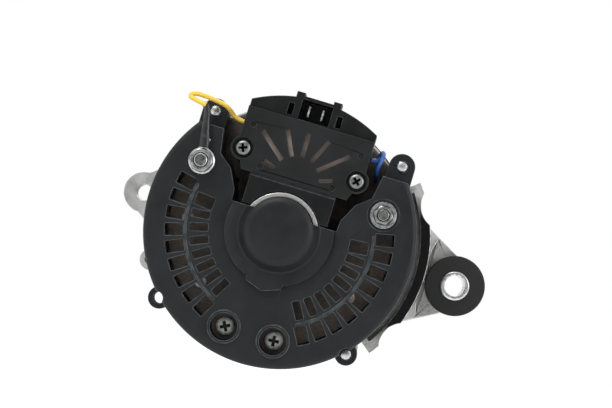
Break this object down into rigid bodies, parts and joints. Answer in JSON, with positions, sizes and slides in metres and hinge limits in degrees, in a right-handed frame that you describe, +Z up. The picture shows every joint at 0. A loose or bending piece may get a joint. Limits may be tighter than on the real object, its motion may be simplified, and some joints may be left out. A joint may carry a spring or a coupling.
{
  "type": "car alternator",
  "caption": "Claw-pole car alternator with an outside fan, V-belt pulley, vented rear cover, regulator and brush holder module, terminal studs and a rubber-bushed pivot lug.",
  "frame": {"origin": "on the rotor axis, in the middle of the belt groove", "axes": "+Y along the rotor axis towards the pulley nut, -Y towards the rear cover, +Z up through the regulator, +X towards the rubber-bushed pivot lug"},
  "size_m": [0.1879, 0.1565, 0.1288],
  "materials": {
    "cast_aluminium": "as-cast, slightly grainy",
    "machined_aluminium": "plain stamped",
    "black_laminations": "black lacquer",
    "copper_wire": "enamelled copper",
    "dark_steel": "dark forged steel",
    "steel": "turned steel",
    "zinc_plate": "zinc plated",
    "bearing_steel": "ground",
    "rubber": "matte black",
    "cover_plastic": "dark slate, satin",
    "black_plastic": "black, matte",
    "regulator_plastic": "dark grey, satin",
    "regulator_sink": "brown-grey, dull",
    "insulation": "brown phenolic",
    "copper": "bare copper",
    "carbon": "carbon, dull",
    "grey_screw": "grey phosphate",
    "diode_metal": "nickel plated",
    "tin_plate": "tin plated brass",
    "yellow_insulation": "glossy",
    "blue_insulation": "glossy"
  },
  "bodies": {
    "housing": {"bearing_retainer_plate": "zinc_plate", "blue_wire": "blue_insulation", "brush_holder": "black_plastic", "connector_blades": "tin_plate", "drive_end_bracket": "cast_aluminium", "excitation_nut": "zinc_plate", "excitation_stud": "zinc_plate", "excitation_washer": "zinc_plate", "front_bearing_outer_race": "bearing_steel", "front_bearing_seals": "rubber", "front_brush_spring": "steel", "heat_shrink_sleeve": "black_plastic", "negative_diodes": "diode_metal", "negative_heat_sink": "machined_aluminium", "output_nut": "zinc_plate", "output_stud": "zinc_plate", "pivot_bush": "rubber", "pivot_sleeve": "steel", "positive_diodes": "diode_metal", "positive_heat_sink": "machined_aluminium", "rear_bearing_outer_race": "bearing_steel", "rear_bearing_seals": "rubber", "rear_bracket": "cast_aluminium", "rear_brush_spring": "steel", "rear_cover": "cover_plastic", "rectifier_board": "insulation", "rectifier_bushes": "insulation", "rectifier_screws": "zinc_plate", "regulator_body": "black_plastic", "regulator_cover": "regulator_plastic", "regulator_heat_sink": "regulator_sink", "regulator_screws": "grey_screw", "retainer_screws": "zinc_plate", "ring_terminal": "tin_plate", "slip_ring_cap": "cover_plastic", "stator_core": "black_laminations", "stator_winding": "copper_wire", "through_bolts": "zinc_plate", "yellow_wire": "yellow_insulation"},
    "rotor": {"rotor_shaft": "steel", "shaft_key": "steel", "pulley": "zinc_plate", "pulley_washer": "zinc_plate", "pulley_nut": "zinc_plate", "fan_spacer": "steel", "fan": "zinc_plate", "front_claw_pole": "dark_steel", "rear_claw_pole": "dark_steel", "coil_bobbin": "insulation", "field_coil": "copper_wire", "slip_ring_insulator": "insulation", "slip_rings": "copper", "front_bearing_inner_race": "bearing_steel", "rear_bearing_inner_race": "bearing_steel"},
    "front_cage": {"front_bearing_cage": "steel", "front_bearing_balls": "bearing_steel"},
    "rear_cage": {"rear_bearing_cage": "steel", "rear_bearing_balls": "bearing_steel"},
    "front_brush": {"front_brush": "carbon"},
    "rear_brush": {"rear_brush": "carbon"}
  },
  "joints": [
    {"name": "rotor_spin", "type": "hinge", "parent": "housing", "child": "rotor", "pos_m": [0, 0, 0], "axis": [0, 1, 0], "continuous": true},
    {"name": "front_cage_spin", "type": "hinge", "parent": "housing", "child": "front_cage", "pos_m": [0, -0.037, 0], "axis": [0, 1, 0], "continuous": true},
    {"name": "rear_cage_spin", "type": "hinge", "parent": "housing", "child": "rear_cage", "pos_m": [0, -0.104, 0], "axis": [0, 1, 0], "continuous": true},
    {"name": "front_brush_slide", "type": "slide", "parent": "housing", "child": "front_brush", "axis": [0, 0, 1], "range_m": [0, 0.004], "stiffness_N_per_m": 290, "springref_m": -0.012, "deforming": ["front_brush_spring"]},
    {"name": "rear_brush_slide", "type": "slide", "parent": "housing", "child": "rear_brush", "axis": [0, 0, 1], "range_m": [0, 0.004], "stiffness_N_per_m": 290, "springref_m": -0.012, "deforming": ["rear_brush_spring"]}
  ],
  "couplings": [
    {"joint": "front_cage_spin", "follows": "rotor_spin", "ratio": 0.3641},
    {"joint": "rear_cage_spin", "follows": "rotor_spin", "ratio": 0.3636}
  ]
}
